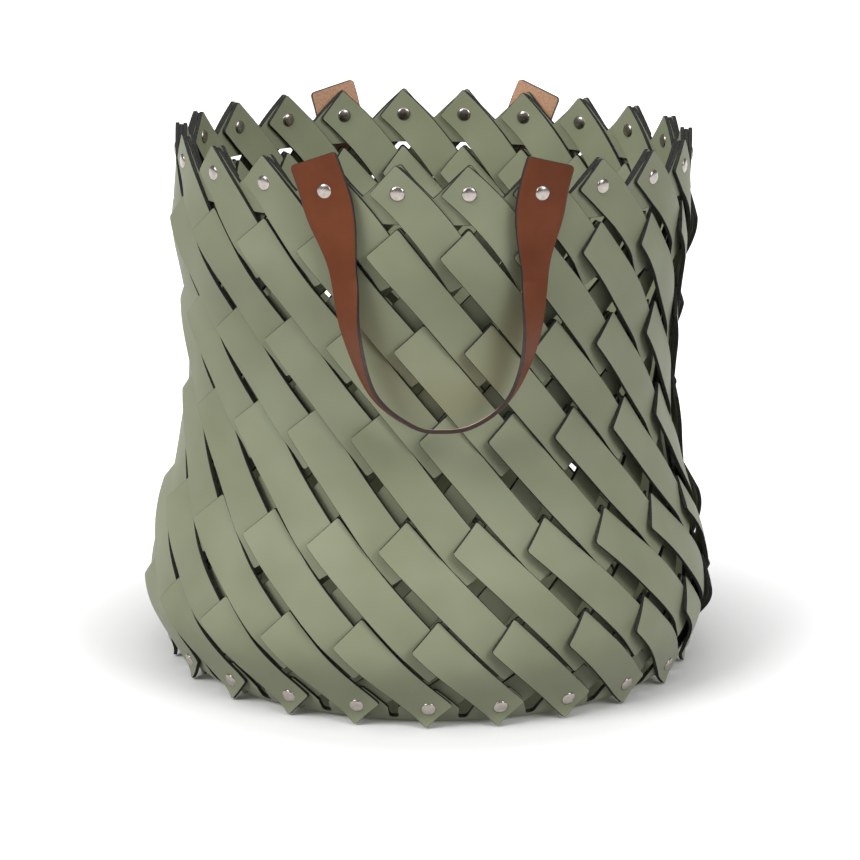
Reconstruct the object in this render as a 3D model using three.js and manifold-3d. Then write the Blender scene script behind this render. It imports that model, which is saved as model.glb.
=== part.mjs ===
// Oval basket plaited from leather straps, with two riveted strap handles.
// Millimetres, +Z up, front towards -Y, origin at the middle of the underside.
import * as THREE from 'three';
import { mergeVertices } from 'three/addons/utils/BufferGeometryUtils.js';
import Module from 'manifold-3d';

const wasm = await Module();
wasm.setup();

// ---------- driving dimensions ----------

const STRAPS_PER_FAMILY = 22;
const STRAP_WIDTH = 25;
const STRAP_THICKNESS = 2.5;
const STRAP_STEPS = 18;
const END_STEP_BIAS = 0.09;

const RIM_RIVET_Z = 344;
const BASE_RIVET_Z = 15.5;
const OUTER_TURN_PITCHES = 7.5;
const INNER_TURN_PITCHES = 8.5;
const RIM_END = STRAP_WIDTH / 2;
const OUTER_BASE_END = 8.5;
const INNER_BASE_END = 4;
const FRONT_CROWDING = 0.042;

// Height and half-width of the middle of the wall, from the underside to above the rim.
const WALL_HEIGHTS = [-8, 2, 14, 24, 34, 52, 70, 100, 140, 175, 200, 254, 300, 344, 370];
const WALL_HALF_WIDTHS = [
  165.6, 168.6, 172.6, 176.8, 181, 185, 183.5, 177.5, 165.5, 159, 157.5, 160, 166, 165.2, 165.8,
];
const WIDTH_OVER_DEPTH = 14.5;

const MIDDLE_LAYER = 2.5;
const LAYER_GAP = 1.2;
const STRAP_INNER_FACE = MIDDLE_LAYER / 2 + LAYER_GAP;
const STRAP_OFFSET = STRAP_INNER_FACE + STRAP_THICKNESS / 2;
const STRAP_OUTER_FACE = STRAP_INNER_FACE + STRAP_THICKNESS;

const RIM_BAND_BOTTOM = RIM_RIVET_Z - 20;
const RIM_BAND_VALLEY = RIM_RIVET_Z - 2;
const RIM_BAND_TIP = RIM_RIVET_Z + 16;
const RIM_BAND_STEPS_PER_TOOTH = 4;

const BASE_THICKNESS = 2.5;
const BASE_CORNER_RADIUS = 4;
const BASE_SKIRT_TOP = 24;
const BASE_RING_STEPS = 66;

const HANDLE_THICKNESS = 2.5;
const HANDLE_GAP = 0.9;
const HANDLE_TAB_WIDTH = 32;
const HANDLE_LOOP_WIDTH = 17;
const HANDLE_STEPS = 46;
const HANDLE_RIVET_PITCHES = 1.5;
const HANDLE_TWIST_START_Z = 290;
const HANDLE_TWIST_DROP = 126;
const HANDLE_TWIST_MOST = (83 * Math.PI) / 180;
const HANDLE_TAPER_END_Z = 290;
const HANDLE_HANG_Z = 308;
const FOLD_Z = 309;
const FOLD_CLEARANCE = 0.4;

const RIVET_HEAD_RADIUS = 4.75;
const RIVET_SHANK_RADIUS = 1.8;
const RIVET_HEAD_HEIGHT = 2.2;
const RIVET_FIT = 0.3;
const RIVET_INSIDE_GAP = 1;
const RIVET_SIDES = 12;

const pitchAngle = (2 * Math.PI) / STRAPS_PER_FAMILY;

// ---------- finishes ----------

const sageLeather = new THREE.MeshStandardMaterial({ color: 0x7c8570, roughness: 0.6, metalness: 0 });
const sageInside = new THREE.MeshStandardMaterial({ color: 0x6f7864, roughness: 0.65, metalness: 0 });
const brownLeather = new THREE.MeshStandardMaterial({ color: 0x7a4229, roughness: 0.45, metalness: 0 });
const nickel = new THREE.MeshStandardMaterial({ color: 0xc9c9c6, roughness: 0.2, metalness: 1 });

// ---------- the oval wall ----------

const wallCurve = new THREE.CubicInterpolant(WALL_HEIGHTS, WALL_HALF_WIDTHS, 1);

function halfWidthAt(z) {
  return wallCurve.evaluate(z)[0];
}

// A point of the wall: turn is the angle from the front, offset is outwards from mid-wall.
function wallPoint(turn, z, offset = 0) {
  const halfWidth = halfWidthAt(z) + offset;
  const halfDepth = halfWidth - WIDTH_OVER_DEPTH;
  return new THREE.Vector3(halfWidth * Math.sin(turn), -halfDepth * Math.cos(turn), z);
}

// The turn at which a point stands on the oval of its own height.
function turnOf(point) {
  const halfWidth = halfWidthAt(point.z);
  return Math.atan2(point.x / halfWidth, -point.y / (halfWidth - WIDTH_OVER_DEPTH));
}

// The turn of a place counted in straps: they stand closer together at the front and the back.
function turnAt(pitches) {
  const even = pitches * pitchAngle;
  return even - FRONT_CROWDING * Math.sin(2 * even);
}

function wallNormal(turn, z) {
  const along = wallPoint(turn + 0.01, z).sub(wallPoint(turn - 0.01, z));
  const upwards = wallPoint(turn, z + 0.5).sub(wallPoint(turn, z - 0.5));
  return along.cross(upwards).normalize();
}

// ---------- ribbons: a box bent along a path ----------

// placeAt(fraction, across, through) gives the place of each corner of the box.
function bendRibbon(placeAt, width, thickness, steps) {
  const geometry = new THREE.BoxGeometry(1, width, thickness, steps, 1, 1);
  const position = geometry.attributes.position;
  for (let i = 0; i < position.count; i++) {
    const point = placeAt(position.getX(i) + 0.5, position.getY(i), position.getZ(i));
    position.setXYZ(i, point.x, point.y, point.z);
  }
  return geometry;
}

// ---------- solids ----------

function toSolid(geometry) {
  const bare = geometry.clone();
  bare.deleteAttribute('normal');
  bare.deleteAttribute('uv');
  const welded = mergeVertices(bare, 1e-4);
  const mesh = new wasm.Mesh({
    numProp: 3,
    vertProperties: new Float32Array(welded.attributes.position.array),
    triVerts: new Uint32Array(welded.index.array),
  });
  return new wasm.Manifold(mesh);
}

function toGeometry(solid) {
  const mesh = solid.getMesh();
  const geometry = new THREE.BufferGeometry();
  geometry.setAttribute('position', new THREE.BufferAttribute(mesh.vertProperties, 3));
  geometry.setIndex(new THREE.BufferAttribute(mesh.triVerts, 1));
  geometry.computeVertexNormals();
  return geometry;
}

const basket = new THREE.Group();

function addPart(name, geometry, material, parent = basket) {
  const mesh = new THREE.Mesh(geometry, material);
  mesh.name = name;
  parent.add(mesh);
  return mesh;
}

// ---------- rivets ----------

// Lathe geometries turn about Y, so this lays a turned part's axis along a direction.
function layAlong(geometry, centre, direction) {
  const turn = new THREE.Quaternion().setFromUnitVectors(new THREE.Vector3(0, 1, 0), direction);
  geometry.applyQuaternion(turn);
  geometry.translate(centre.x, centre.y, centre.z);
  return geometry;
}

function rivetSeat(pitches) {
  const turn = turnAt(pitches);
  return { centre: wallPoint(turn, RIM_RIVET_Z), direction: wallNormal(turn, RIM_RIVET_Z) };
}

function rivetHole(pitches) {
  const seat = rivetSeat(pitches);
  const radius = RIVET_SHANK_RADIUS + RIVET_FIT;
  const cutter = new THREE.CylinderGeometry(radius, radius, 60, RIVET_SIDES);
  return toSolid(layAlong(cutter, seat.centre, seat.direction));
}

// One turned rivet: a domed head outside the handle tab and one inside the wall.
function handleRivet(pitches) {
  const seat = rivetSeat(pitches);
  const outside = STRAP_OUTER_FACE + HANDLE_GAP + HANDLE_THICKNESS + RIVET_FIT;
  const inside = -STRAP_OUTER_FACE - RIVET_INSIDE_GAP;
  const shoulder = RIVET_HEAD_RADIUS * 0.7;
  const profile = [
    new THREE.Vector2(0, inside - RIVET_HEAD_HEIGHT),
    new THREE.Vector2(shoulder, inside - RIVET_HEAD_HEIGHT * 0.8),
    new THREE.Vector2(RIVET_HEAD_RADIUS, inside - RIVET_HEAD_HEIGHT * 0.3),
    new THREE.Vector2(RIVET_HEAD_RADIUS, inside),
    new THREE.Vector2(RIVET_SHANK_RADIUS, inside),
    new THREE.Vector2(RIVET_SHANK_RADIUS, outside),
    new THREE.Vector2(RIVET_HEAD_RADIUS, outside),
    new THREE.Vector2(RIVET_HEAD_RADIUS, outside + RIVET_HEAD_HEIGHT * 0.3),
    new THREE.Vector2(shoulder, outside + RIVET_HEAD_HEIGHT * 0.8),
    new THREE.Vector2(0, outside + RIVET_HEAD_HEIGHT),
  ];
  const geometry = new THREE.LatheGeometry(profile, RIVET_SIDES);
  return layAlong(geometry, seat.centre, seat.direction);
}

const frontRivets = [-HANDLE_RIVET_PITCHES, HANDLE_RIVET_PITCHES];
const backRivets = frontRivets.map((pitches) => pitches + STRAPS_PER_FAMILY / 2);
const handleRivetPitches = [...frontRivets, ...backRivets];

// ---------- plaited straps ----------

// A strap runs from its rim rivet down to its base rivet, turning round the wall at a steady rate.
function strapPath(rimPitches, turnPitches, offset, baseEnd) {
  const drop = RIM_RIVET_Z - BASE_RIVET_Z;
  const at = (z) => {
    const turned = rimPitches + (turnPitches * (RIM_RIVET_Z - z)) / drop;
    return wallPoint(turnAt(turned), z, offset);
  };
  const slopeAt = (z) => {
    const step = at(z - 0.5).sub(at(z + 0.5));
    return -step.z / step.length();
  };
  const top = RIM_RIVET_Z + RIM_END * slopeAt(RIM_RIVET_Z);
  const bottom = BASE_RIVET_Z - baseEnd * slopeAt(BASE_RIVET_Z);
  return (fraction, across, through) => {
    const eased = fraction - END_STEP_BIAS * Math.sin(2 * Math.PI * fraction);
    const z = top + (bottom - top) * eased;
    const turned = rimPitches + (turnPitches * (RIM_RIVET_Z - z)) / drop;
    const tangent = at(z - 0.5).sub(at(z + 0.5)).normalize();
    const sideways = wallNormal(turnAt(turned), z).cross(tangent).normalize();
    const spot = at(z).addScaledVector(sideways, across);
    return wallPoint(turnOf(spot), spot.z, offset + through);
  };
}

function strapGeometry(rimPitches, turnPitches, offset, baseEnd) {
  const path = strapPath(rimPitches, turnPitches, offset, baseEnd);
  const ribbon = bendRibbon(path, STRAP_WIDTH, STRAP_THICKNESS, STRAP_STEPS);
  const rivet = handleRivetPitches.find(
    (pitches) => (pitches + STRAPS_PER_FAMILY) % STRAPS_PER_FAMILY === rimPitches,
  );
  if (rivet === undefined) {
    return ribbon;
  }
  return toGeometry(toSolid(ribbon).subtract(rivetHole(rivet)));
}

const families = [
  { name: 'outer_strap', turn: OUTER_TURN_PITCHES, offset: STRAP_OFFSET, end: OUTER_BASE_END,
    finish: sageLeather },
  { name: 'inner_strap', turn: -INNER_TURN_PITCHES, offset: -STRAP_OFFSET, end: INNER_BASE_END,
    finish: sageInside },
];
for (const family of families) {
  for (let k = 0; k < STRAPS_PER_FAMILY; k++) {
    const number = String(k + 1).padStart(2, '0');
    const geometry = strapGeometry(k + 0.5, family.turn, family.offset, family.end);
    addPart(`${family.name}_${number}`, geometry, family.finish);
  }
}

// ---------- rings that follow the oval ----------

// profile lists {z, offset} round a closed section; heightAt may move a point with the turn.
function ovalRing(profile, steps, heightAt = (point) => point.z) {
  const flat = profile.map((point) => new THREE.Vector2(100 + point.offset, point.z));
  flat.push(flat[0].clone());
  const geometry = new THREE.LatheGeometry(flat, steps);
  const position = geometry.attributes.position;
  const perTurn = flat.length;
  for (let i = 0; i < position.count; i++) {
    const step = Math.floor(i / perTurn) % steps;
    const point = profile[(i % perTurn) % profile.length];
    const z = heightAt(point, step);
    const spot = wallPoint(turnAt((STRAPS_PER_FAMILY * step) / steps), z, point.offset);
    position.setXYZ(i, spot.x, spot.y, spot.z);
  }
  return toGeometry(outwards(geometry));
}

function outwards(geometry) {
  const solid = toSolid(geometry);
  return solid.volume() > 0 ? solid : toSolid(flipped(geometry));
}

function flipped(geometry) {
  const turned = geometry.clone();
  const order = turned.index.array;
  for (let i = 0; i < order.length; i += 3) {
    const first = order[i];
    order[i] = order[i + 2];
    order[i + 2] = first;
  }
  return turned;
}

// The toothed band lies between the two families and ends in one tooth at each rivet.
function rimBand() {
  const half = MIDDLE_LAYER / 2;
  const profile = [
    { z: RIM_BAND_BOTTOM, offset: half },
    { z: RIM_BAND_TIP, offset: half, toothed: true },
    { z: RIM_BAND_TIP, offset: -half, toothed: true },
    { z: RIM_BAND_BOTTOM, offset: -half },
  ];
  const toothHeight = (point, step) => {
    if (!point.toothed) {
      return point.z;
    }
    const phase = (step % RIM_BAND_STEPS_PER_TOOTH) / RIM_BAND_STEPS_PER_TOOTH;
    const rise = 1 - Math.abs(2 * phase - 1);
    return RIM_BAND_VALLEY + (RIM_BAND_TIP - RIM_BAND_VALLEY) * rise;
  };
  const steps = STRAPS_PER_FAMILY * RIM_BAND_STEPS_PER_TOOTH;
  let band = toSolid(ovalRing(profile, steps, toothHeight));
  for (const pitches of handleRivetPitches) {
    band = band.subtract(rivetHole(pitches));
  }
  return toGeometry(band);
}

addPart('rim_band', rimBand(), sageLeather);

// The base is a leather pan: a flat floor whose edge is turned up between the strap ends.
function basePan() {
  const edge = wallPoint(Math.PI / 2, 6).x;
  const half = BASE_THICKNESS / 2;
  const outline = [new THREE.Vector2(0, 0)];
  const cornerCentre = edge + half - BASE_CORNER_RADIUS;
  for (let i = 0; i <= 3; i++) {
    const angle = (i / 3) * (Math.PI / 2);
    outline.push(new THREE.Vector2(
      cornerCentre + BASE_CORNER_RADIUS * Math.sin(angle),
      BASE_CORNER_RADIUS * (1 - Math.cos(angle)),
    ));
  }
  const heights = [11, 15, 19, BASE_SKIRT_TOP];
  for (const z of heights) {
    outline.push(new THREE.Vector2(halfWidthAt(z) + half, z));
  }
  for (const z of heights.toReversed()) {
    outline.push(new THREE.Vector2(halfWidthAt(z) - half, z));
  }
  const innerRadius = BASE_CORNER_RADIUS - BASE_THICKNESS;
  for (let i = 2; i >= 0; i--) {
    const angle = (i / 2) * (Math.PI / 2);
    outline.push(new THREE.Vector2(
      cornerCentre + innerRadius * Math.sin(angle),
      BASE_THICKNESS + innerRadius * (1 - Math.cos(angle)),
    ));
  }
  outline.push(new THREE.Vector2(0, BASE_THICKNESS));
  const geometry = new THREE.LatheGeometry(outline, BASE_RING_STEPS);
  geometry.rotateX(Math.PI / 2);
  const position = geometry.attributes.position;
  for (let i = 0; i < position.count; i++) {
    const radius = Math.hypot(position.getX(i), position.getY(i));
    position.setY(i, position.getY(i) * (1 - WIDTH_OVER_DEPTH / Math.max(radius, cornerCentre)));
  }
  return toGeometry(outwards(geometry));
}

addPart('base_pan', basePan(), sageLeather);

// ---------- handles ----------

// Middle line of the front handle, from the left tab's top edge round the loop to the right one's.
const HANDLE_LINE = [
  [-73.9, 363.5], [-67, 344], [-58.8, 316], [-54, 290], [-49.5, 257], [-35.8, 220.5], [-11.3, 201.5],
  [7.8, 198.5], [25.4, 201.5], [43.3, 213], [54.5, 230.5], [61.3, 256], [62.8, 288], [63.4, 316],
  [67, 344], [71.8, 363.5],
];
const HANDLE_STAND_OFF = STRAP_OUTER_FACE + HANDLE_GAP + HANDLE_THICKNESS / 2;

// How far the strap has turned edge-on: none at the tabs, nearly a quarter turn at the foot of the loop.
function handleTwist(z) {
  const fall = THREE.MathUtils.clamp((HANDLE_TWIST_START_Z - z) / HANDLE_TWIST_DROP, 0, 1);
  return Math.sin((fall * Math.PI) / 2) * HANDLE_TWIST_MOST;
}

function handleWidth(z) {
  const flare = THREE.MathUtils.smoothstep(z, HANDLE_TAPER_END_Z, RIM_RIVET_Z - 6);
  return HANDLE_LOOP_WIDTH + (HANDLE_TAB_WIDTH - HANDLE_LOOP_WIDTH) * flare;
}

// The line is laid on the wall and moved out far enough for the edge-on strap to clear it.
function handleCentre(x, z) {
  const lean = Math.sin(handleTwist(z)) * (handleWidth(z) / 2);
  const halfWidth = halfWidthAt(Math.max(z, HANDLE_HANG_Z)) + HANDLE_STAND_OFF;
  const halfDepth = halfWidth - WIDTH_OVER_DEPTH;
  const y = -halfDepth * Math.sqrt(1 - (x / halfWidth) ** 2);
  return new THREE.Vector3(x, y - lean, z);
}

const handleCurve = new THREE.CatmullRomCurve3(HANDLE_LINE.map(([x, z]) => handleCentre(x, z)));

function handlePlace(fraction, across, through) {
  const centre = handleCurve.getPointAt(fraction);
  const tangent = handleCurve.getTangentAt(fraction);
  const turn = Math.asin(centre.x / (halfWidthAt(centre.z) + HANDLE_STAND_OFF));
  const out = new THREE.Vector3(Math.sin(turn), -Math.cos(turn), 0);
  out.addScaledVector(tangent, -out.dot(tangent)).normalize();
  const side = tangent.clone().cross(out).normalize();
  const twist = handleTwist(centre.z);
  const normal = out.multiplyScalar(Math.cos(twist)).addScaledVector(side, Math.sin(twist));
  const sideways = normal.clone().cross(tangent).normalize();
  centre.addScaledVector(sideways, across * handleWidth(centre.z));
  return centre.addScaledVector(normal, through);
}

function boxBetween(low, high) {
  const size = new THREE.Vector3().subVectors(high, low);
  const centre = new THREE.Vector3().addVectors(low, high).multiplyScalar(0.5);
  const box = new THREE.BoxGeometry(size.x, size.y, size.z);
  box.translate(centre.x, centre.y, centre.z);
  return toSolid(box);
}

function slab(lowX, highX, lowZ, highZ) {
  return boxBetween(new THREE.Vector3(lowX, -300, lowZ), new THREE.Vector3(highX, 0, highZ));
}

// The strap is one piece of leather; it is divided at its fold line into two tabs and a loop.
function handlePieces() {
  let strap = toSolid(bendRibbon(handlePlace, 1, HANDLE_THICKNESS, HANDLE_STEPS));
  for (const pitches of frontRivets) {
    strap = strap.subtract(rivetHole(pitches));
  }
  const gap = FOLD_CLEARANCE / 2;
  return {
    tab_left: strap.intersect(slab(-200, 0, FOLD_Z + gap, 400)),
    tab_right: strap.intersect(slab(0, 200, FOLD_Z + gap, 400)),
    loop: strap.intersect(slab(-200, 200, 0, FOLD_Z - gap)),
  };
}

const sides = [
  { name: 'front', turn: 0, rivets: frontRivets },
  { name: 'back', turn: Math.PI, rivets: backRivets },
];
const pieces = handlePieces();
for (const side of sides) {
  const holder = new THREE.Group();
  holder.rotation.z = side.turn;
  basket.add(holder);
  for (const [piece, solid] of Object.entries(pieces)) {
    addPart(`${side.name}_handle_${piece}`, toGeometry(solid), brownLeather, holder);
  }
  addPart(`${side.name}_handle_rivet_left`, handleRivet(side.rivets[0]), nickel);
  addPart(`${side.name}_handle_rivet_right`, handleRivet(side.rivets[1]), nickel);
}

export default basket;
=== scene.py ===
# %% [markdown]
# # An oval basket plaited from leather straps
#
# The basket is a stiff open tub. Two families of sage-green straps lean opposite ways and lock together,
# a toothed band stiffens the rim, a leather pan makes the base, and two brown strap handles hang from
# rivets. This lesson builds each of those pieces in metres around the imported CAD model, which fixes all
# the sizes, and then gives each one its finish.

# %% Load the frame
import math

import bpy
import numpy as np
from mathutils import Matrix, Vector


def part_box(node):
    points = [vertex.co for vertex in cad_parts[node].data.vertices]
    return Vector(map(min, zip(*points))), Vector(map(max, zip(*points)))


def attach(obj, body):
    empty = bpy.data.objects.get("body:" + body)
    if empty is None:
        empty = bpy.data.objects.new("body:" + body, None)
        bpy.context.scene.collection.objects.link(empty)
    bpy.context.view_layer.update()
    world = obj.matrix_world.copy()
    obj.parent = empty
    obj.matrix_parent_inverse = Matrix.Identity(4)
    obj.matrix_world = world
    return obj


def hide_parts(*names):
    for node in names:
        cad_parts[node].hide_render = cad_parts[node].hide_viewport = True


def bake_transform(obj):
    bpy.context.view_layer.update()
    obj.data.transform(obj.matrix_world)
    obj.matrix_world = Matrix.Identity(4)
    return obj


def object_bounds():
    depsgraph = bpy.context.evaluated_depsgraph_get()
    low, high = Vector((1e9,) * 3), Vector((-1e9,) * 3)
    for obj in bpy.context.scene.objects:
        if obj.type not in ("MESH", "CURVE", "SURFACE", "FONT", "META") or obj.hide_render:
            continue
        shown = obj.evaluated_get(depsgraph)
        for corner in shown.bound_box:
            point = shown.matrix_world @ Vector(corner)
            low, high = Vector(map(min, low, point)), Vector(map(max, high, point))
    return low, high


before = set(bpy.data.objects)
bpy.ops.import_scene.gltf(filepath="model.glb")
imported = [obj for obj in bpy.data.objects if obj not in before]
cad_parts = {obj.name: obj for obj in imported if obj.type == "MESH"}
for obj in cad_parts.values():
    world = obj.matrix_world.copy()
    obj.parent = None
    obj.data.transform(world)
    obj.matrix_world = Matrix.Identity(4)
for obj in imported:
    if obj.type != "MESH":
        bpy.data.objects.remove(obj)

cad_low, cad_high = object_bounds()
print("CAD box, mm:", [round(v * 1000) for v in cad_high - cad_low])

# %% [markdown]
# ## Driving sizes
#
# A maker cuts every strap from one sheet with one strap cutter, so one width and one thickness serve the
# whole basket. The number of straps is the number of rivets round the rim. Everything else follows from
# those and from the heights of the two rivet rows.

# %% Sizes of the leather work
MM = 0.001
STRAPS = 22
PITCH_ANGLE = 2 * math.pi / STRAPS
STRAP_WIDTH = 25 * MM
STRAP_THICKNESS = 2.5 * MM
HALF_WIDTH = STRAP_WIDTH / 2
RIM_RIVET_Z = 344 * MM
BASE_RIVET_Z = 15.5 * MM
WIDTH_OVER_DEPTH = 14.5 * MM
FRONT_CROWDING = 0.042
LAYER = 2.55 * MM
CUT_EDGE_ROUND = 0.3 * MM
CORNER_RADIUS = 2.0 * MM
print("straps:", STRAPS, "width, mm:", STRAP_WIDTH / MM)

# %% [markdown]
# ## The wall
#
# The wall is an oval whose half-width changes with height: a slight flare at the rim, a waist, and a
# belly just above the base. Every CAD outer strap lies on it at a fixed distance, so the wall is read
# back from those straps: for each of their corners we solve for the oval that passes through it. The
# same wall then carries every piece of leather, which is how the pieces stay in register.

# %% A smooth curve through a few stations
def smooth_curve(xs, ys):
    """A function of x that passes smoothly through the stations."""
    xs, ys = np.array(xs, float), np.array(ys, float)
    slopes = np.gradient(ys, xs)

    def value(x):
        x = np.clip(np.asarray(x, float), xs[0], xs[-1])
        i = np.clip(np.searchsorted(xs, x) - 1, 0, len(xs) - 2)
        span = xs[i + 1] - xs[i]
        t = (x - xs[i]) / span
        rise = (3 - 2 * t) * t * t
        lean_in = slopes[i] * span * t * (1 - t) ** 2
        lean_out = slopes[i + 1] * span * t * t * (1 - t)
        return ys[i] + (ys[i + 1] - ys[i]) * rise + lean_in - lean_out

    return value


# %% Read the oval wall back from the CAD straps
CAD_OUTER_OFFSET = 3.7 * MM
FIRST_STATION = 0.006
STATION_STEP = 0.012
STATION_BLUR = 0.005


def half_width_through(x, y):
    """Half-width of the oval through each point, by a few Newton steps."""
    half = np.hypot(x, y) + WIDTH_OVER_DEPTH / 2
    for _ in range(12):
        depth = half - WIDTH_OVER_DEPTH
        miss = (x / half) ** 2 + (y / depth) ** 2 - 1
        slope = -2 * x**2 / half**3 - 2 * y**2 / depth**3
        half = half - miss / slope
    return half


def wall_stations():
    """Heights and half-widths of the middle of the wall."""
    corners = []
    for name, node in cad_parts.items():
        if name.startswith("outer_strap"):
            corners += [tuple(v.co) for v in node.data.vertices]
    corners = np.array(corners)
    halves = half_width_through(corners[:, 0], corners[:, 1]) - CAD_OUTER_OFFSET
    heights = np.arange(FIRST_STATION, cad_high.z, STATION_STEP)
    widths = []
    for z in heights:
        weight = np.exp(-(((corners[:, 2] - z) / STATION_BLUR) ** 2))
        centre = (weight * (corners[:, 2] - z)).sum() / weight.sum()
        spread = (weight * (corners[:, 2] - z - centre) ** 2).sum()
        mean = (weight * halves).sum() / weight.sum()
        slope = (weight * (corners[:, 2] - z - centre) * (halves - mean)).sum() / max(spread, 1e-12)
        widths.append(mean - slope * centre)
    return heights, np.array(widths)


half_width_at = smooth_curve(*wall_stations())
print("half-width at rim, waist, belly, mm:",
      [round(float(half_width_at(z)) / MM, 1) for z in (RIM_RIVET_Z, 0.2, 0.052)])

# %% Places on the wall
HEIGHTS = np.linspace(-0.02, 0.38, 401)
_HALVES = half_width_at(HEIGHTS)
_STEPS = np.hypot(np.diff(HEIGHTS), np.diff(_HALVES))
RISES = np.concatenate([[0], np.cumsum(_STEPS)])


def rise_at(z):
    """Distance up the curved wall to a height."""
    return np.interp(z, HEIGHTS, RISES)


def height_at(rise):
    return np.interp(rise, RISES, HEIGHTS)


def wall(turn, z, offset=0.0):
    """Points of the wall: turn is the angle from the front, offset is outwards from mid-wall."""
    half = half_width_at(z) + offset
    return np.stack([half * np.sin(turn), -(half - WIDTH_OVER_DEPTH) * np.cos(turn), z + 0 * half], -1)


def turn_at(pitches):
    """The turn of a place counted in straps, which crowd a little at the front and the back."""
    even = pitches * PITCH_ANGLE
    return even - FRONT_CROWDING * np.sin(2 * even)


def stride_at(turn, z):
    """Distance round the oval for each radian of turn."""
    half = half_width_at(z)
    return np.hypot(half * np.cos(turn), (half - WIDTH_OVER_DEPTH) * np.sin(turn))


def gap_between(first, second, z):
    """Distance round the oval between two places counted in straps."""
    t0, t1 = turn_at(first), turn_at(second)
    return float(abs(t1 - t0) * stride_at((t0 + t1) / 2, z))


print("strap spacing at the rim, front and side, mm:",
      [round(gap_between(k - 0.5, k + 0.5, RIM_RIVET_Z) / MM, 1) for k in (0, STRAPS / 4)])

# %% [markdown]
# ## A slab of leather
#
# A cut strap is a slab: two grain faces and a cut edge all round, with corners rounded by a punch. It
# could be a plane with a Solidify modifier, but then its corners would need a boolean. Here the grid's
# rows simply get narrower towards the ends, which rounds the corners, and the outermost ring is set
# back a little from each face, which takes the sharpness off the cut edge. Faces of the edge get the
# second material, because the fibre core is darker than the grain.

# %% Build slabs from two grids of points
def grid_faces(rows, columns, first, flip):
    faces = []
    for i in range(rows - 1):
        for j in range(columns - 1):
            a = first + i * columns + j
            quad = (a, a + 1, a + columns + 1, a + columns)
            faces.append(quad[::-1] if flip else quad)
    return faces


def border(rows, columns):
    """Indices round the edge of a grid, in order."""
    top = [j for j in range(columns)]
    right = [i * columns + columns - 1 for i in range(1, rows)]
    bottom = [(rows - 1) * columns + j for j in range(columns - 2, -1, -1)]
    left = [i * columns for i in range(rows - 2, 0, -1)]
    return top + right + bottom + left


class Leather:
    """Collects slabs into one mesh: material 0 outside, 1 on the cut edge, 2 inside."""

    def __init__(self):
        self.points, self.faces, self.materials, self.along = [], [], [], []

    def add(self, upper, lower, uv, cut_rows=(0, -1), cut_columns=(0, -1)):
        """Two grids of points, the outer face and the inner one, joined by the cut edge all round.
        The rows and columns named as cut are the narrow ones beside a cut edge."""
        rows, columns = upper.shape[:2]
        count = rows * columns
        first = sum(len(p) for p in self.points)
        self.points += [upper.reshape(-1, 3), lower.reshape(-1, 3)]
        self.along += [uv.reshape(-1, 2), uv.reshape(-1, 2)]
        top = grid_faces(rows, columns, first, False)
        under = grid_faces(rows, columns, first + count, True)
        ring = [first + i for i in border(rows, columns)]
        side = []
        for a, b in zip(ring, ring[1:] + ring[:1]):
            side.append((b, a, a + count, b + count))
        dark_rows = {i % (rows - 1) for i in cut_rows}
        dark_columns = {j % (columns - 1) for j in cut_columns}
        bevel = [i in dark_rows or j in dark_columns
                 for i in range(rows - 1) for j in range(columns - 1)]
        self.faces += top + under + side
        self.materials += [1 if b else 0 for b in bevel] + [1 if b else 2 for b in bevel]
        self.materials += [1] * len(side)

    def make(self, name, materials, sharp_degrees=35):
        mesh = bpy.data.meshes.new(name)
        mesh.from_pydata(np.concatenate(self.points).tolist(), [], self.faces)
        for material in materials:
            mesh.materials.append(material)
        slots = np.minimum(np.array(self.materials), len(materials) - 1)
        mesh.polygons.foreach_set("material_index", slots.astype(np.int32))
        layer = mesh.uv_layers.new(name="strap")
        corner_points = np.zeros(len(mesh.loops), np.int32)
        mesh.loops.foreach_get("vertex_index", corner_points)
        uv = np.concatenate(self.along)[corner_points]
        layer.data.foreach_set("uv", uv.astype(np.float32).ravel())
        mesh.shade_smooth()
        mesh.set_sharp_from_angle(angle=math.radians(sharp_degrees))
        mesh.update()
        piece = bpy.data.objects.new(name, mesh)
        bpy.context.scene.collection.objects.link(piece)
        return piece


def with_edges(length, step, edge=CUT_EDGE_ROUND):
    """Stations from 0 to length, with a narrow one at both ends and fine ones at the round corners."""
    middle = np.linspace(CORNER_RADIUS, length - CORNER_RADIUS, max(2, round(length / step)))
    corner = CORNER_RADIUS * (1 - np.cos(np.linspace(0, math.pi / 2, 6)))
    start = np.concatenate([[0, edge], corner[2:-1]])
    return np.concatenate([start, middle, (length - start)[::-1]])


def rounded_half_width(s, length, half, radius=CORNER_RADIUS):
    """Half-width of a round-cornered strap at each station."""
    near = np.minimum(s, length - s)
    inset = np.clip(radius - near, 0, radius)
    return half - radius + np.sqrt(radius**2 - inset**2)


# %% [markdown]
# ## How a strap piece lies
#
# Each chain runs from a rim rivet to a base rivet in six short pieces. A piece starts on the outside,
# with its left corner standing proud and its right edge tucked under the neighbour. It runs slightly
# steeper than the line between the two knots, so it slides in beneath the next piece of its own chain
# and its tail shows beside that piece. The inner family is the mirror image, seen from inside. The
# heights of the two edges of a piece along its length are all it takes to describe that.

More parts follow.
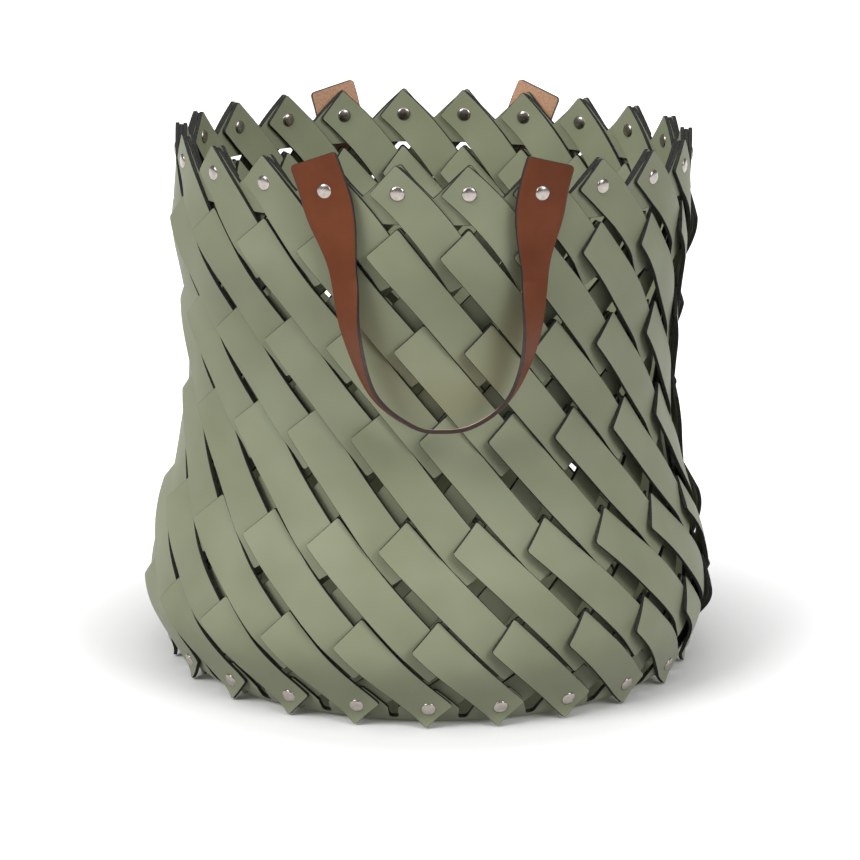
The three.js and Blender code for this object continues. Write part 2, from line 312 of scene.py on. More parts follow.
# %% The knots of the weave
# At each knot row: the height, how far round the outer and the inner chain have gone, in pitches.
KNOT_HEIGHTS = np.array([344, 303, 242, 184, 117.5, 56.5, 15.5]) * MM
OUTER_TURNS = np.array([0, 0.99, 2.37, 3.735, 5.19, 6.64, 7.5])
INNER_TURNS = np.array([0, -1.01, -2.63, -4.265, -5.81, -7.36, -8.5])
TUCK_SHIFT = 7.8 * MM
TAIL = 25 * MM
START_SKEW = 2.2 * MM
RIM_START_ANGLE = math.radians(43.5)
OUTER_BASE_END = 10.0 * MM
INNER_BASE_END = 5.0 * MM
SINK = 1.5 * MM
SINK_REACH = 30 * MM
PIECE_STEP = 4.5 * MM
SKEW_REACH = 8 * MM
INNER_FOOT_RISE = 5 * MM

# Heights of a piece's two edges above mid-wall in mm, at shares of the way from one knot to the next.
SHARES = [-0.2, 0, 0.15, 0.4, 0.65, 0.85, 1.0, 1.12, 1.3, 1.5]
FIELD_LEFT = smooth_curve(SHARES, [9.0, 8.6, 7.8, 6.0, 5.2, 4.4, 2.2, 1.4, 1.3, 1.3])
FIELD_RIGHT = smooth_curve(SHARES, [2.4, 2.4, 2.5, 3.6, 3.3, 2.2, 1.4, 1.3, 1.3, 1.3])
RIM_LEFT = smooth_curve(SHARES, [2.6, 2.6, 2.9, 4.6, 5.0, 4.4, 2.2, 1.4, 1.3, 1.3])
RIM_RIGHT = smooth_curve(SHARES, [2.6, 2.6, 2.7, 2.7, 2.5, 2.0, 1.4, 1.3, 1.3, 1.3])
FOOT_LEFT = smooth_curve(SHARES, [9.0, 8.6, 7.8, 5.6, 4.0, 3.1, 2.6, 3.6, 5.2, 5.2])
FOOT_RIGHT = smooth_curve(SHARES, [2.4, 2.4, 2.5, 3.6, 3.2, 2.8, 2.6, 3.2, 4.2, 4.2])


def sink_at(z):
    """The wall settles inwards a little between its two riveted edges."""
    near = np.minimum(RIM_RIVET_Z - z, z - BASE_RIVET_Z) / SINK_REACH
    return SINK * np.clip(near, 0, 1)


# %% Lay one piece of strap on the wall
def strap_piece(leather, chain, row, turns, side):
    """side is 1 for the outer family and -1 for the inner one."""
    z0, z1 = KNOT_HEIGHTS[row], KNOT_HEIGHTS[row + 1]
    start, stop = chain + 0.5 + turns[row], chain + 0.5 + turns[row + 1]
    across = gap_between(start, stop, (z0 + z1) / 2)
    down = float(rise_at(z0) - rise_at(z1))
    reach = math.hypot(across, down)
    last = row == len(KNOT_HEIGHTS) - 2
    sideways = 0 if last else TUCK_SHIFT
    chord = math.atan2(down, across) + math.asin(sideways / reach)
    bend = chord - RIM_START_ANGLE if row == 0 else 1e-4
    base_end = OUTER_BASE_END if side > 0 else INNER_BASE_END
    skew = 0 if row == 0 else START_SKEW
    length = HALF_WIDTH + reach + (base_end if last else TAIL - HALF_WIDTH)
    s = with_edges(length, PIECE_STEP)
    half = rounded_half_width(s, length, HALF_WIDTH)
    shares_across = np.array([-1, -1 + CUT_EDGE_ROUND / HALF_WIDTH, -0.6, -0.2, 0.2, 0.6,
                              1 - CUT_EDGE_ROUND / HALF_WIDTH, 1])
    S = np.repeat(s[:, None], len(shares_across), 1)
    W = half[:, None] * shares_across[None, :]
    fade = np.clip(1 - S / SKEW_REACH, 0, 1)
    run = S - HALF_WIDTH - skew * fade * (W + HALF_WIDTH) / STRAP_WIDTH
    curve = 2 * math.sin(bend) / reach
    angle = chord - bend + curve * run
    down_line = (math.cos(chord - bend) - np.cos(angle)) / curve
    around_line = (np.sin(angle) - math.sin(chord - bend)) / curve
    z = height_at(rise_at(z0) - down_line + np.cos(angle) * W)
    around = around_line + np.sin(angle) * W
    share = run / reach
    halfway = turn_at(start) + (turn_at(stop) - turn_at(start)) * share / 2
    turn = turn_at(start) + side * around / stride_at(halfway, (z0 + z) / 2)
    left, right = (RIM_LEFT, RIM_RIGHT) if row == 0 else (FOOT_LEFT, FOOT_RIGHT) if last else (
        FIELD_LEFT, FIELD_RIGHT)
    across_share = (W / HALF_WIDTH + 1) / 2
    lift = (left(share) * (1 - across_share) + right(share) * across_share) * MM
    if side < 0 and last:
        lift = np.minimum(lift, LAYER + INNER_FOOT_RISE * np.clip(1 - share, 0, 1))
    offset = side * lift - sink_at(z)
    half_thick = np.full_like(S, STRAP_THICKNESS / 2)
    half_thick[[0, -1], :] -= CUT_EDGE_ROUND
    half_thick[:, [0, -1]] = STRAP_THICKNESS / 2 - CUT_EDGE_ROUND
    upper = wall(turn, z, offset + half_thick)
    lower = wall(turn, z, offset - half_thick)
    uv = np.stack([S, W + HALF_WIDTH], -1)
    if side < 0:
        upper, lower, uv = upper[:, ::-1], lower[:, ::-1], uv[:, ::-1]
    leather.add(upper[::-1], lower[::-1], uv[::-1])


# %% [markdown]
# ## Finishes
#
# Bonded leather has a fine, even, pressed grain and a soft sheen: a smooth plastic-like coat with very
# shallow pebbles. One colour would look like paint, so two slow noises move the tone a little, and the
# grain comes from cells about half a millimetre across. The cut edge shows the dark fibre core, rough
# and matt. All patterns read Object coordinates, in metres, so they are the same size everywhere.

# %% Helpers for materials
def new_material(name):
    material = bpy.data.materials.new(name)
    material.use_nodes = True
    nodes = material.node_tree.nodes
    shader = nodes["Principled BSDF"]
    place = nodes.new("ShaderNodeTexCoord")
    return material, nodes, material.node_tree.links, shader, place.outputs["Object"]


def noise(nodes, links, place, scale, detail=3.0):
    node = nodes.new("ShaderNodeTexNoise")
    node.inputs["Scale"].default_value = scale
    node.inputs["Detail"].default_value = detail
    links.new(place, node.inputs["Vector"])
    return node.outputs["Fac"]


def cells(nodes, links, place, scale):
    node = nodes.new("ShaderNodeTexVoronoi")
    node.inputs["Scale"].default_value = scale
    links.new(place, node.inputs["Vector"])
    return node.outputs["Distance"]


def tone(nodes, links, factor, dark, light, low=0.3, high=0.7):
    ramp = nodes.new("ShaderNodeValToRGB")
    ramp.color_ramp.elements[0].position = low
    ramp.color_ramp.elements[1].position = high
    ramp.color_ramp.elements[0].color = (*dark, 1)
    ramp.color_ramp.elements[1].color = (*light, 1)
    links.new(factor, ramp.inputs["Fac"])
    return ramp.outputs["Color"]


def bump(nodes, links, height, strength, distance, below=None):
    node = nodes.new("ShaderNodeBump")
    node.inputs["Strength"].default_value = strength
    node.inputs["Distance"].default_value = distance
    links.new(height, node.inputs["Height"])
    if below is not None:
        links.new(below, node.inputs["Normal"])
    return node.outputs["Normal"]


def linear(red, green, blue):
    """A screen colour, 0 to 255, as the linear numbers that a shader takes."""
    def channel(value):
        value = value / 255
        return value / 12.92 if value <= 0.04045 else ((value + 0.055) / 1.055) ** 2.4
    return tuple(round(channel(c), 4) for c in (red, green, blue))


# %% Sage-green bonded leather
def sage_leather():
    material, nodes, links, shader, place = new_material("sage_leather")
    mottle = noise(nodes, links, place, 18, 2)
    colour = tone(nodes, links, mottle, linear(133, 138, 110), linear(146, 151, 124))
    links.new(colour, shader.inputs["Base Color"])
    grain = cells(nodes, links, place, 1500)
    ripple = noise(nodes, links, place, 60, 3)
    soft = bump(nodes, links, ripple, 0.12, 0.0006)
    links.new(bump(nodes, links, grain, 0.16, 0.00012, soft), shader.inputs["Normal"])
    shader.inputs["Roughness"].default_value = 0.56
    shader.inputs["Specular IOR Level"].default_value = 0.35
    shader.inputs["Sheen Weight"].default_value = 0.12
    shader.inputs["Sheen Roughness"].default_value = 0.5
    return material


# %% Dark fibre core of the cut edges
def cut_edge():
    material, nodes, links, shader, place = new_material("cut_edge")
    fibre = noise(nodes, links, place, 900, 4)
    colour = tone(nodes, links, fibre, linear(30, 31, 29), linear(58, 59, 56))
    links.new(colour, shader.inputs["Base Color"])
    links.new(bump(nodes, links, fibre, 0.4, 0.0002), shader.inputs["Normal"])
    shader.inputs["Roughness"].default_value = 0.85
    shader.inputs["Specular IOR Level"].default_value = 0.2
    return material


SAGE = sage_leather()
CORE = cut_edge()
print("finishes so far:", [m.name for m in (SAGE, CORE)])

# %% [markdown]
# ## Plaiting the wall
#
# One chain becomes one object, made of its six pieces, and it stands for the plain CAD ribbon of the
# same chain. A loop lays all twenty-two chains of each family.

# %% The two families of straps
def plait(family, turns, side):
    for chain in range(STRAPS):
        leather = Leather()
        for row in range(len(KNOT_HEIGHTS) - 1):
            strap_piece(leather, chain, row, turns, side)
        piece = leather.make(f"{family}_chain_{chain + 1:02d}", [SAGE, CORE, SAGE])
        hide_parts(f"{family}_strap_{chain + 1:02d}")
        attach(piece, "basket")
    return piece


for family, turns, side in (("outer", OUTER_TURNS, 1), ("inner", INNER_TURNS, -1)):
    last_chain = plait(family, turns, side)
    print(family, "chains:", STRAPS, "faces in one:", len(last_chain.data.polygons))

# %% [markdown]
# ## Rim band
#
# Between the two families at the rim lies one long strip with a tooth behind each rivet. It is a grid
# bent round the oval, it follows the wall as that settles inwards, and its upper edge rises to a rounded
# tip at every rivet.

# %% Toothed rim band
BAND_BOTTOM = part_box("rim_band")[0].z
TOOTH_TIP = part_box("rim_band")[1].z
TOOTH_ROUND = 2.5 * MM
TOOTH_VALLEY = RIM_RIVET_Z - 3 * MM
COLUMNS_PER_TOOTH = 24


def tooth_height(pitches, tip):
    """Upper edge of the band: a rounded tip at each rivet and a sharp valley between."""
    phase = pitches % 1 - 0.5
    away = np.abs(phase) * gap_between(-0.5, 0.5, RIM_RIVET_Z)
    return np.maximum(tip - (np.hypot(away, TOOTH_ROUND) - TOOTH_ROUND), TOOTH_VALLEY)


def closed_ring(leather, turn, z, offset, half_thick):
    """A slab bent into a closed ring: its first and last columns meet."""
    upper = wall(turn, z, offset + half_thick)
    lower = wall(turn, z, offset - half_thick)
    uv = np.stack([turn * half_width_at(RIM_RIVET_Z), z], -1)
    leather.add(upper, lower, uv, cut_columns=())


def rim_band():
    columns = STRAPS * COLUMNS_PER_TOOTH + 1
    pitches = np.linspace(0, STRAPS, columns)[None, :]
    turn = turn_at(pitches)
    top = tooth_height(pitches, TOOTH_TIP)
    share = np.array([0, 0.008, 0.2, 0.4, 0.6, 0.8, 0.98, 1])[:, None]
    z = BAND_BOTTOM + (top - BAND_BOTTOM) * share
    turn = np.repeat(turn, len(share), 0)
    half_thick = np.full_like(z, STRAP_THICKNESS / 2)
    half_thick[[0, -1], :] -= CUT_EDGE_ROUND
    leather = Leather()
    closed_ring(leather, turn, z, -sink_at(z), half_thick)
    return leather.make("rim_band_leather", [SAGE, CORE, SAGE])


def close_seam(piece):
    """Welds the two ends of a ring and drops the faces that met inside it."""
    import bmesh
    mesh = bmesh.new()
    mesh.from_mesh(piece.data)
    bmesh.ops.remove_doubles(mesh, verts=mesh.verts, dist=1e-6)
    seen = {}
    for face in mesh.faces:
        key = tuple(sorted(v.index for v in face.verts))
        seen.setdefault(key, []).append(face)
    doubled = [f for group in seen.values() if len(group) > 1 for f in group]
    bmesh.ops.delete(mesh, geom=doubled, context="FACES_ONLY")
    bmesh.ops.recalc_face_normals(mesh, faces=mesh.faces)
    mesh.to_mesh(piece.data)
    mesh.free()
    piece.data.update()
    return piece


band = close_seam(rim_band())
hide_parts("rim_band")
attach(band, "basket")
print("rim band faces:", len(band.data.polygons))

# %% [markdown]
# ## Base pan
#
# The base is a flat oval of leather with its edge turned up inside the straps. That edge is cut into a
# tab behind each rivet and a notch between. A turned profile would be round, so each point of the profile
# is instead walked round the oval at its own size.

# %% Base pan
PAN_FOLD = 16 * MM
PAN_NOTCH_Z = 5.5 * MM
PAN_TAB_SHOULDER = 14 * MM
PAN_TAB_HALF = 19.4 * MM
PAN_TAB_TIP = 28 * MM
PAN_NOTCH_ROUND = 1.5 * MM
PAN_NOTCH_SHOULDER = 2.5 * MM
PAN_FLOOR_RINGS = [0.0, 0.3, 0.6, 0.85, 1.0]


def pan_edge_height(away):
    """Top of the turned-up edge: a pointed tab behind each rivet and a rounded notch between."""
    tab = np.minimum(PAN_TAB_SHOULDER + PAN_TAB_HALF - away, PAN_TAB_TIP)
    into_notch = np.clip((away - PAN_TAB_HALF) / PAN_NOTCH_ROUND, 0, 1)
    notch = PAN_NOTCH_Z + PAN_NOTCH_SHOULDER * (1 - np.sqrt(into_notch))
    return np.where(away <= PAN_TAB_HALF, tab, notch)


def pan_section(heights):
    """Half-width and outward lean of the section at each height, on the middle of the leather."""
    middle = PAN_FOLD - STRAP_THICKNESS / 2
    fold_sine = np.clip(1 - (heights - STRAP_THICKNESS / 2) / middle, -1, 1)
    in_fold = heights < PAN_FOLD
    lean = np.where(in_fold, np.arccos(np.clip(fold_sine, 0, 1)), math.pi / 2)
    inset = np.where(in_fold, middle * (1 - np.sin(lean)), 0)
    return half_width_at(heights) - sink_at(heights) - inset, lean


def base_pan():
    half_gap = gap_between(0, 0.5, BASE_RIVET_Z)
    across = np.array([0, 0.25, 0.5, 0.75, 1]) * PAN_TAB_HALF
    across = np.append(across, [PAN_TAB_HALF + a * MM for a in (0.15, 0.6, 1.6)]) / half_gap
    one = np.concatenate([-across[:0:-1], across]) / 2
    pitches = (np.arange(STRAPS)[:, None] + one[None, :]).ravel()
    pitches = np.append(pitches, pitches[0] + STRAPS)
    turn = turn_at(pitches)
    away = np.abs((pitches + 0.5) % 1 - 0.5) * 2 * half_gap
    top = pan_edge_height(away)
    half = STRAP_THICKNESS / 2
    fold_edge = float(half_width_at(half)) - (PAN_FOLD - half)
    upper, lower = [], []
    for share in PAN_FLOOR_RINGS:
        ring = oval_loop(fold_edge * share, turn)
        lower.append(ring + [0, 0, STRAP_THICKNESS])
        upper.append(ring)
    for share in np.append(np.linspace(0.05, 0.98, 12), 1):
        bottom = half + 0.01 * MM
        z = bottom + (top - bottom) * share
        width, lean = pan_section(z)
        thick = half - (CUT_EDGE_ROUND if share == 1 else 0)
        for faces, way in ((upper, 1), (lower, -1)):
            shifted = width + way * thick * np.sin(lean)
            depth = shifted - WIDTH_OVER_DEPTH
            faces.append(np.stack([shifted * np.sin(turn), -depth * np.cos(turn),
                                   z - way * thick * np.cos(lean)], -1))
    upper, lower = np.array(upper), np.array(lower)
    leather = Leather()
    leather.add(upper, lower, upper[..., :2], cut_rows=(-1,), cut_columns=())
    return leather.make("base_pan_leather", [SAGE, CORE, SAGE])


def oval_loop(half, turn):
    """An oval of the floor; small ones keep its proportions."""
    depth = half * (1 - WIDTH_OVER_DEPTH / float(half_width_at(PAN_FOLD)))
    return np.stack([half * np.sin(turn), -depth * np.cos(turn), 0 * turn], -1)


pan = close_seam(base_pan())
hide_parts("base_pan")
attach(pan, "basket")
print("base pan faces:", len(pan.data.polygons))

# %% [markdown]
# ## Handles
#
# Each handle is one strap of brown leather. Both ends are wide paddles riveted to the rim with their
# faces outwards. Below them the strap narrows and twists a quarter turn, so that at the foot of the loop
# it stands on edge. Its middle line is a few points laid on the wall, and the twist and the width follow
# from the height. Below the tabs it stands clear of the proud corners of the weave.

# %% Finishes of the handles
def handle_leather():
    material, nodes, links, shader, place = new_material("brown_leather")
    cloud = noise(nodes, links, place, 35, 5)
    colour = tone(nodes, links, cloud, linear(98, 48, 24), linear(122, 66, 38), 0.25, 0.8)
    links.new(colour, shader.inputs["Base Color"])
    pores = cells(nodes, links, place, 1100)
    wrinkle = noise(nodes, links, place, 220, 4)
    soft = bump(nodes, links, wrinkle, 0.15, 0.0003)
    links.new(bump(nodes, links, pores, 0.15, 0.00012, soft), shader.inputs["Normal"])
    shader.inputs["Roughness"].default_value = 0.5
    shader.inputs["Specular IOR Level"].default_value = 0.18
    return material


def suede_back():
    material, nodes, links, shader, place = new_material("suede_back")
    nap = noise(nodes, links, place, 700, 6)
    colour = tone(nodes, links, nap, linear(188, 140, 108), linear(214, 170, 138))
    links.new(colour, shader.inputs["Base Color"])
    links.new(bump(nodes, links, nap, 0.5, 0.0003), shader.inputs["Normal"])
    shader.inputs["Roughness"].default_value = 0.95
    shader.inputs["Sheen Weight"].default_value = 0.3
    return material


def painted_edge():
    material, nodes, links, shader, place = new_material("painted_edge")
    wave = noise(nodes, links, place, 300, 3)
    colour = tone(nodes, links, wave, linear(38, 24, 22), linear(52, 34, 30))
    links.new(colour, shader.inputs["Base Color"])
    links.new(bump(nodes, links, wave, 0.1, 0.0002), shader.inputs["Normal"])
    shader.inputs["Roughness"].default_value = 0.45
    return material


BROWN, EDGE_PAINT, SUEDE = handle_leather(), painted_edge(), suede_back()

# %% The handle's middle line, twist and width
HANDLE_LINE = np.array([
    [-73.9, 363.5], [-67, 344], [-58.8, 316], [-54, 290], [-49.5, 257], [-35.8, 220.5], [-11.3, 201.5],
    [7.8, 198.5], [25.4, 201.5], [43.3, 213], [54.5, 230.5], [61.3, 256], [62.8, 288], [63.4, 316],
    [67, 344], [71.8, 363.5],
]) * MM
HANDLE_THICKNESS = 2.5 * MM
HANDLE_STAND_OFF = 4.95 * MM + 0.9 * MM + HANDLE_THICKNESS / 2
HANDLE_TAB_WIDTH = 33 * MM
HANDLE_LOOP_WIDTH = 17 * MM
HANDLE_TAPER = (290 * MM, RIM_RIVET_Z - 6 * MM)
HANDLE_TWIST_START = 290 * MM
HANDLE_TWIST_DROP = 126 * MM
HANDLE_TWIST_MOST = math.radians(83)
HANDLE_HANG = 308 * MM
HANDLE_CLEARANCE = 3.0 * MM
HANDLE_CORNER = 2.8 * MM
HANDLE_STATIONS = 220


def twist_at(z):
    fall = np.clip((HANDLE_TWIST_START - z) / HANDLE_TWIST_DROP, 0, 1)
    return np.sin(fall * math.pi / 2) * HANDLE_TWIST_MOST


def handle_width_at(z):
    t = np.clip((z - HANDLE_TAPER[0]) / (HANDLE_TAPER[1] - HANDLE_TAPER[0]), 0, 1)
    return HANDLE_LOOP_WIDTH + (HANDLE_TAB_WIDTH - HANDLE_LOOP_WIDTH) * t * t * (3 - 2 * t)


def handle_centre_line():
    """Points along the front handle, evenly spaced, laid against the wall."""
    knots = np.arange(len(HANDLE_LINE))
    x_at = smooth_curve(knots, HANDLE_LINE[:, 0])
    z_at = smooth_curve(knots, HANDLE_LINE[:, 1])
    fine = np.linspace(0, knots[-1], 1200)
    x, z = x_at(fine), z_at(fine)
    lean = np.sin(twist_at(z)) * handle_width_at(z) / 2
    free = np.clip((RIM_RIVET_Z - z) / (RIM_RIVET_Z - HANDLE_HANG), 0, 1)
    half = half_width_at(np.maximum(z, HANDLE_HANG)) + HANDLE_STAND_OFF + HANDLE_CLEARANCE * free
    y = -(half - WIDTH_OVER_DEPTH) * np.sqrt(1 - (x / half) ** 2) - lean
    line = np.stack([x, y, z], -1)
    run = np.concatenate([[0], np.cumsum(np.linalg.norm(np.diff(line, axis=0), axis=1))])
    edge = np.array([0, CUT_EDGE_ROUND])
    corner = HANDLE_CORNER * (1 - np.cos(np.linspace(0, math.pi / 2, 8)))[2:-1]
    start = np.concatenate([edge, corner])
    middle = np.linspace(HANDLE_CORNER, run[-1] - HANDLE_CORNER, HANDLE_STATIONS)
    stations = np.concatenate([start, middle, (run[-1] - start)[::-1]])
    points = np.stack([np.interp(stations, run, line[:, i]) for i in range(3)], -1)
    return stations, points, run[-1]


def unit(vectors):
    return vectors / np.linalg.norm(vectors, axis=-1, keepdims=True)


def handle_strap(name, half_turn):
    stations, centre, length = handle_centre_line()
    tangent = unit(np.gradient(centre, stations, axis=0))
    half = half_width_at(centre[:, 2]) + HANDLE_STAND_OFF
    facing = np.arcsin(centre[:, 0] / half)
    out = np.stack([np.sin(facing), -np.cos(facing), 0 * facing], -1)
    out = unit(out - tangent * (out * tangent).sum(-1, keepdims=True))
    outward = np.cross(tangent, out)
    twist = twist_at(centre[:, 2])[:, None]
    normal = out * np.cos(twist) + outward * np.sin(twist)
    sideways = np.cross(normal, tangent)
    half_width = handle_width_at(centre[:, 2]) / 2
    half_width = rounded_half_width(stations, length, half_width, HANDLE_CORNER)
    shares = np.array([-1, -0.97, -0.75, -0.45, -0.15, 0.15, 0.45, 0.75, 0.97, 1])
    W = half_width[:, None] * shares[None, :]
    half_thick = np.full_like(W, HANDLE_THICKNESS / 2)
    half_thick[[0, -1], :] -= CUT_EDGE_ROUND
    half_thick[:, [0, -1]] = HANDLE_THICKNESS / 2 - CUT_EDGE_ROUND
    spot = centre[:, None, :] + sideways[:, None, :] * W[..., None]
    upper = spot + normal[:, None, :] * half_thick[..., None]
    lower = spot - normal[:, None, :] * half_thick[..., None]
    if half_turn:
        upper, lower = upper * [-1, -1, 1], lower * [-1, -1, 1]
    uv = np.stack([np.repeat(stations[:, None], len(shares), 1), W], -1)
    leather = Leather()
    leather.add(upper, lower, uv)
    return leather.make(name, [BROWN, EDGE_PAINT, SUEDE]), length


for side, half_turn in (("front", False), ("back", True)):
    handle, handle_length = handle_strap(f"{side}_handle_strap", half_turn)
    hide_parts(f"{side}_handle_tab_left", f"{side}_handle_tab_right", f"{side}_handle_loop")
    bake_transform(handle)
    print(side, "handle length, mm:", round(handle_length / MM))

# %% [markdown]
# ## Rivets
#
# Every rivet is a domed nickel cap on each side of the leather. They repeat, so Geometry Nodes places
# them: one cap is turned from a short profile, and a cloud of seats carries the direction that each cap
# faces. The tree copies the cap to every seat, turns it, scales it, and ends as plain mesh.

# %% Nickel
def polished_nickel():
    material, nodes, links, shader, place = new_material("polished_nickel")
    haze = noise(nodes, links, place, 400, 3)
    colour = tone(nodes, links, haze, linear(156, 148, 142), linear(178, 170, 164))
    links.new(colour, shader.inputs["Base Color"])
    links.new(bump(nodes, links, haze, 0.03, 0.0002), shader.inputs["Normal"])
    shader.inputs["Metallic"].default_value = 1.0
    shader.inputs["Roughness"].default_value = 0.24
    return material


NICKEL = polished_nickel()

# %% One cap, one unit in radius
CAP_HEIGHT = 0.32
CAP_SIDES = 32
CAP_RINGS = 7


def rivet_cap():
    """A dome with a small rolled lip, closed underneath."""
    profile = [(0.0, -0.12), (0.93, -0.12), (0.99, -0.06), (1.0, 0.02), (0.96, 0.08)]
    for angle in np.linspace(0.25, math.pi / 2, CAP_RINGS):
        profile.append((0.94 * math.cos(angle), 0.06 + (CAP_HEIGHT - 0.06) * math.sin(angle)))
    points, faces = [(0, 0, profile[0][1])], []
    for radius, z in profile[1:-1]:
        for j in range(CAP_SIDES):
            turn = 2 * math.pi * j / CAP_SIDES
            points.append((radius * math.cos(turn), radius * math.sin(turn), z))
    top = len(points)
    points.append((0, 0, CAP_HEIGHT))
    rings = len(profile) - 2
    for j in range(CAP_SIDES):
        k = (j + 1) % CAP_SIDES
        faces.append((0, 1 + k, 1 + j))
        for i in range(rings - 1):
            a, b = 1 + i * CAP_SIDES, 1 + (i + 1) * CAP_SIDES
            faces.append((a + j, a + k, b + k, b + j))
        last = 1 + (rings - 1) * CAP_SIDES
        faces.append((last + j, last + k, top))
    mesh = bpy.data.meshes.new("rivet_cap")
    mesh.from_pydata(points, [], faces)
    mesh.shade_smooth()
    return bpy.data.objects.new("rivet_cap", mesh)


CAP = rivet_cap()
bpy.context.scene.collection.objects.link(CAP)
CAP.hide_render = True


# %% The tree that sets a cap on every seat
def cap_tree():
    tree = bpy.data.node_groups.new("set_rivet_caps", "GeometryNodeTree")
    interface = tree.interface
    interface.new_socket("Geometry", in_out="INPUT", socket_type="NodeSocketGeometry")
    radius = interface.new_socket("Cap Radius", in_out="INPUT", socket_type="NodeSocketFloat")
    interface.new_socket("Geometry", in_out="OUTPUT", socket_type="NodeSocketGeometry")
    nodes, links = tree.nodes, tree.links
    given = nodes.new("NodeGroupInput")
    result = nodes.new("NodeGroupOutput")
    cap = nodes.new("GeometryNodeObjectInfo")
    cap.inputs["Object"].default_value = CAP
    facing = nodes.new("GeometryNodeInputNamedAttribute")
    facing.data_type = "FLOAT_VECTOR"
    facing.inputs["Name"].default_value = "facing"
    turn = nodes.new("FunctionNodeAlignRotationToVector")
    turn.axis = "Z"
    copies = nodes.new("GeometryNodeInstanceOnPoints")
    real = nodes.new("GeometryNodeRealizeInstances")
    finish = nodes.new("GeometryNodeSetMaterial")
    finish.inputs["Material"].default_value = NICKEL
    links.new(given.outputs["Geometry"], copies.inputs["Points"])
    links.new(cap.outputs["Geometry"], copies.inputs["Instance"])
    links.new(facing.outputs["Attribute"], turn.inputs["Vector"])
    links.new(turn.outputs["Rotation"], copies.inputs["Rotation"])
    links.new(given.outputs["Cap Radius"], copies.inputs["Scale"])
    links.new(copies.outputs["Instances"], real.inputs["Geometry"])
    links.new(real.outputs["Geometry"], finish.inputs["Geometry"])
    links.new(finish.outputs["Geometry"], result.inputs["Geometry"])
    return tree, radius.identifier


CAP_TREE, CAP_RADIUS_SOCKET = cap_tree()


def set_caps(name, seats, facings, radius):
    """Caps at every seat, as one plain mesh."""
    cloud = bpy.data.meshes.new(name + "_seats")
    cloud.from_pydata([tuple(p) for p in seats], [], [])
    facing = cloud.attributes.new("facing", "FLOAT_VECTOR", "POINT")
    facing.data.foreach_set("vector", np.array(facings, np.float32).ravel())
    seat_object = bpy.data.objects.new(name + "_seats", cloud)
    bpy.context.scene.collection.objects.link(seat_object)
    modifier = seat_object.modifiers.new("caps", "NODES")
    modifier.node_group = CAP_TREE
    modifier[CAP_RADIUS_SOCKET] = radius
    evaluated = seat_object.evaluated_get(bpy.context.evaluated_depsgraph_get())
    mesh = bpy.data.meshes.new_from_object(evaluated)
    mesh.name = name
    bpy.data.objects.remove(seat_object)
    piece = bpy.data.objects.new(name, mesh)
    bpy.context.scene.collection.objects.link(piece)
    return piece


# %% Seats of the rivets
RIVET_RADIUS = 4.75 * MM


def wall_facing(turn, z):
    along = wall(turn + 0.01, z) - wall(turn - 0.01, z)
    up = wall(turn, z + MM) - wall(turn, z - MM)
    return unit(np.cross(along, up))


def seats_in_row(chains, z, outside, inside, whole_pitch):
    """Outer and inner seats of a row of rivets, with the way that each cap faces."""
    seats, facings = [], []
    for chain in chains:
        turn = turn_at(chain + whole_pitch)
        facing = wall_facing(turn, z)
        for offset, way in ((outside, 1), (inside, -1)):
            seats.append(wall(turn, z) + facing * offset)
            facings.append(facing * way)
    return seats, facings


HANDLE_CHAINS = [1, STRAPS - 2, STRAPS // 2 - 2, STRAPS // 2 + 1]
PLAIN_CHAINS = [k for k in range(STRAPS) if k not in HANDLE_CHAINS]
LEATHER_FACE = LAYER + STRAP_THICKNESS / 2
TAB_FACE = HANDLE_STAND_OFF + HANDLE_THICKNESS / 2

rows = [
    ("rim_rivets", PLAIN_CHAINS, RIM_RIVET_Z, LEATHER_FACE, 0.5, ()),
    ("base_rivets", list(range(STRAPS)), BASE_RIVET_Z, LEATHER_FACE, 0.0, ()),
    ("handle_rivets", HANDLE_CHAINS, RIM_RIVET_Z, TAB_FACE, 0.5,
     [f"{s}_handle_rivet_{e}" for s in ("front", "back") for e in ("left", "right")]),
]
for name, chains, z, outside, whole_pitch, stands_for in rows:
    caps = set_caps(name, *seats_in_row(chains, z, outside, -LEATHER_FACE, whole_pitch), RIVET_RADIUS)
    if stands_for:
        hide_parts(*stands_for)
    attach(caps, "basket")
    print(name, "caps:", 2 * len(chains), "faces:", len(caps.data.polygons))
bpy.data.objects.remove(CAP)

# %% [markdown]
# ## Studio
#
# A plain pale floor under a dim white sky, with three large soft lights: a key from the front left, a
# weaker fill from the front right and a broad one overhead. A white floor would light the wall from below
# and flatten the weave, so it is kept out of diffuse bounces. It also carries painted light: it glows,
# from nothing near the basket to half white farther out, which paints out the lamps' far shadows and
# leaves only a short shadow at the base. The camera stands a little over two metres away with a long
# lens, tipped down, so the rim is seen slightly from above and the base more so.

# %% Floor, light and camera
FLOOR_REACH = 60.0
FLOOR_DROP = 0.2 * MM
# Painted light on the floor: an emission colour, with its start and full distances from the basket,
# standing in for lamp light far from the base
PAINTED_FLOOR_LIGHT = (0.5, 0.5, 0.5)
PAINTED_LIGHT_START, PAINTED_LIGHT_FULL = 0.19, 0.33


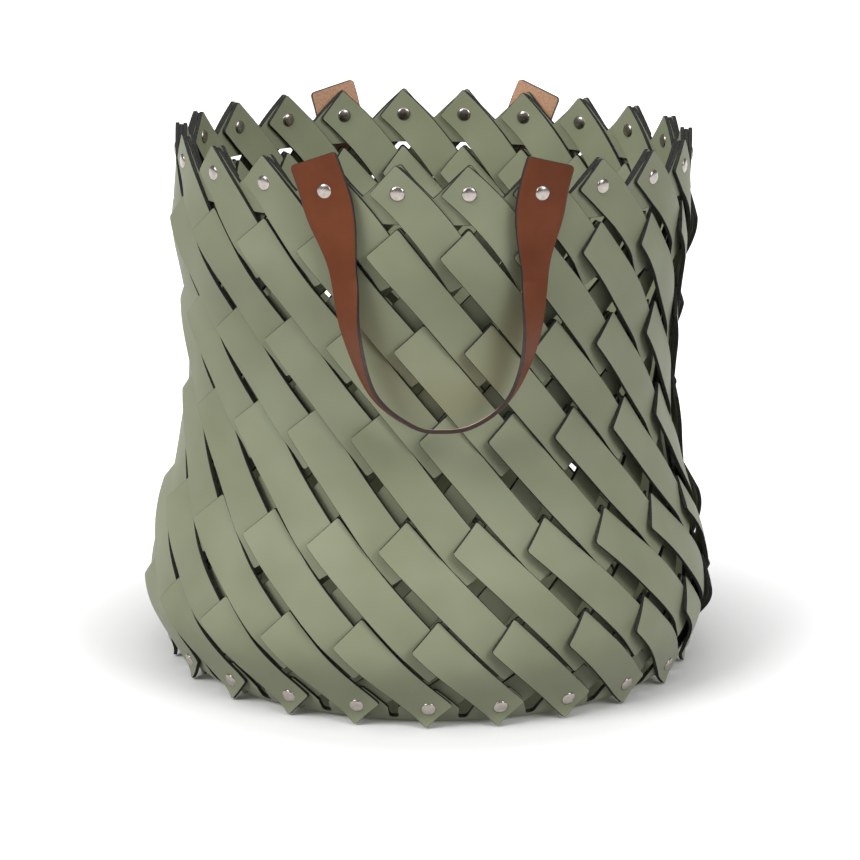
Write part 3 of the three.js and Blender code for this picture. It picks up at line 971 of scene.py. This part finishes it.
def floor():
    mesh = bpy.data.meshes.new("floor")
    reach, z = FLOOR_REACH, -FLOOR_DROP
    mesh.from_pydata([(-reach, -reach, z), (reach, -reach, z), (reach, reach, z), (-reach, reach, z)],
                     [], [(0, 1, 2, 3)])
    material, nodes, links, shader, place = new_material("studio_floor")
    shade = tone(nodes, links, noise(nodes, links, place, 2), (0.86, 0.86, 0.86), (0.88, 0.88, 0.88))
    links.new(shade, shader.inputs["Base Color"])
    shader.inputs["Roughness"].default_value = 0.9
    away = nodes.new("ShaderNodeVectorMath")
    away.operation = "LENGTH"
    links.new(place, away.inputs[0])
    # painted light: the floor's emission is nothing near the basket and rises with distance, painting out
    # the lamps' far shadows
    painted_light = tone(nodes, links, away.outputs["Value"], (0, 0, 0), PAINTED_FLOOR_LIGHT, PAINTED_LIGHT_START, PAINTED_LIGHT_FULL)
    links.new(painted_light, shader.inputs["Emission Color"])
    shader.inputs["Emission Strength"].default_value = 1.0
    mesh.materials.append(material)
    ground = bpy.data.objects.new("floor", mesh)
    bpy.context.scene.collection.objects.link(ground)
    ground.visible_diffuse = False


def sun(name, direction_from, power, softness_degrees):
    data = bpy.data.lights.new(name, "SUN")
    data.energy = power
    data.angle = math.radians(softness_degrees)
    light = bpy.data.objects.new(name, data)
    light.rotation_euler = Vector(direction_from).to_track_quat("Z", "Y").to_euler()
    bpy.context.scene.collection.objects.link(light)


def sky(strength):
    world = bpy.data.worlds.new("studio_sky")
    world.use_nodes = True
    world.node_tree.nodes["Background"].inputs["Color"].default_value = (1, 1, 1, 1)
    world.node_tree.nodes["Background"].inputs["Strength"].default_value = strength
    bpy.context.scene.world = world


CAMERA_PLACE = (-0.0007, -2.023, 0.700)
CAMERA_PITCH = math.radians(15.11)
CAMERA_ROLL = math.radians(0.53)
CAMERA_LENS = 130.4


def camera():
    data = bpy.data.cameras.new("camera")
    data.lens = CAMERA_LENS
    data.sensor_width = 36
    data.clip_end = 100
    view = bpy.data.objects.new("camera", data)
    view.location = CAMERA_PLACE
    tilt = Matrix.Rotation(math.pi / 2 - CAMERA_PITCH, 3, "X")
    view.rotation_euler = (tilt @ Matrix.Rotation(CAMERA_ROLL, 3, "Z")).to_euler()
    bpy.context.scene.collection.objects.link(view)
    bpy.context.scene.camera = view


floor()
sky(0.25)
sun("key", (-1.2, -0.9, 1.2), 2.0, 30)
sun("fill", (1.1, -0.9, 0.9), 1.2, 30)
sun("top", (0.0, -0.3, 1.6), 1.1, 60)
camera()
bpy.context.scene.view_settings.view_transform = "Standard"
print("camera lens, mm:", CAMERA_LENS)
